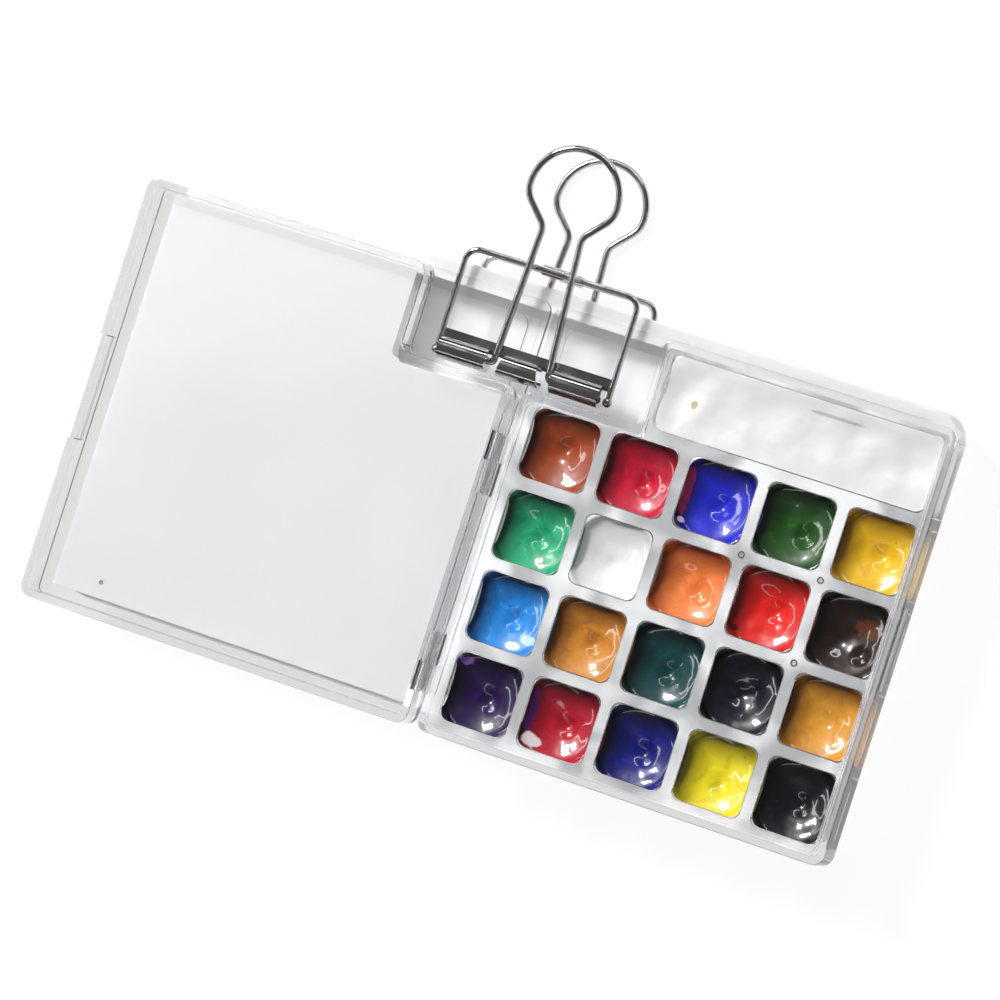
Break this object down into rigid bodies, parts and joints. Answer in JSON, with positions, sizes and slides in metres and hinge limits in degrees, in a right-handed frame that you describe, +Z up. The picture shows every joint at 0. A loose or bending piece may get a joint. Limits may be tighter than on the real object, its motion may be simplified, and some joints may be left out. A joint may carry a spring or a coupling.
{
  "type": "wet palette",
  "caption": "Hinged clear box opened flat, wells of wet paint in one half, over a shallow white tray, held by a wire spring clip.",
  "frame": {"origin": "under the middle of the whole object, at its lowest point", "axes": "+X along the opened box towards the wells, +Y towards the clip's handles, +Z up out of the wells"},
  "size_m": [0.2294, 0.1544, 0.0295],
  "materials": {
    "clear_plastic": "polished clear polystyrene",
    "clear_pin": "clear rod",
    "milky_plastic": "milky white, satin",
    "polished_steel": "polished nickel plate",
    "paint_burnt_sienna": "wet paint",
    "paint_carmine": "wet paint",
    "paint_ultramarine": "wet paint",
    "paint_sap_green": "wet paint",
    "paint_golden_yellow": "wet paint",
    "paint_emerald": "wet paint",
    "paint_white": "wet paint",
    "paint_orange": "wet paint",
    "paint_scarlet": "wet paint",
    "paint_umber": "wet paint",
    "paint_azure": "wet paint",
    "paint_yellow_ochre": "wet paint",
    "paint_viridian": "wet paint",
    "paint_indigo": "wet paint",
    "paint_raw_sienna": "wet paint",
    "paint_violet": "wet paint",
    "paint_crimson": "wet paint",
    "paint_deep_blue": "wet paint",
    "paint_lemon": "wet paint",
    "paint_black": "wet paint"
  },
  "bodies": {
    "tray": {"tray_shell": "clear_plastic", "hinge_pin_upper": "clear_pin", "hinge_pin_lower": "clear_pin", "paint_burnt_sienna": "paint_burnt_sienna", "paint_carmine": "paint_carmine", "paint_ultramarine": "paint_ultramarine", "paint_sap_green": "paint_sap_green", "paint_golden_yellow": "paint_golden_yellow", "paint_emerald": "paint_emerald", "paint_white": "paint_white", "paint_orange": "paint_orange", "paint_scarlet": "paint_scarlet", "paint_umber": "paint_umber", "paint_azure": "paint_azure", "paint_yellow_ochre": "paint_yellow_ochre", "paint_viridian": "paint_viridian", "paint_indigo": "paint_indigo", "paint_raw_sienna": "paint_raw_sienna", "paint_violet": "paint_violet", "paint_crimson": "paint_crimson", "paint_deep_blue": "paint_deep_blue", "paint_lemon": "paint_lemon", "paint_black": "paint_black", "paint_white_long": "paint_white"},
    "lid": {"lid_shell": "clear_plastic"},
    "backing": {"backing_tray": "milky_plastic"},
    "clip": {"clip_rear_arm": "polished_steel", "clip_bridge": "polished_steel"},
    "clip_front": {"clip_front_arm": "polished_steel"},
    "front_handle": {"clip_front_handle": "polished_steel"},
    "rear_handle": {"clip_rear_handle": "polished_steel"}
  },
  "joints": [
    {"name": "lid_hinge", "type": "hinge", "parent": "tray", "child": "lid", "pos_m": [-0.0005, -0.03318, 0.02734], "axis": [0, 1, 0], "range_deg": [0, 180], "deforming": ["clip_front_arm", "clip_front_handle"]},
    {"name": "backing_slide", "type": "slide", "parent": "tray", "child": "backing", "axis": [0, -1, 0], "range_m": [0, 0.03]},
    {"name": "clip_slide", "type": "slide", "parent": "tray", "child": "clip", "axis": [0, 1, 0], "range_m": [0, 0.035]},
    {"name": "jaw_opening", "type": "hinge", "parent": "clip", "child": "clip_front", "pos_m": [-0.0027, 0.04412, 0.02052], "axis": [-1, 0, 0], "range_deg": [0, 18], "stiffness_Nm_per_rad": 1, "springref_deg": -20.05},
    {"name": "front_handle_swing", "type": "hinge", "parent": "clip_front", "child": "front_handle", "pos_m": [-0.0027, 0.01757, 0.02237], "axis": [1, 0, 0], "range_deg": [0, 110]},
    {"name": "rear_handle_swing", "type": "hinge", "parent": "clip", "child": "rear_handle", "pos_m": [-0.0027, 0.01757, 0.00331], "axis": [-1, 0, 0], "range_deg": [0, 172]}
  ]
}
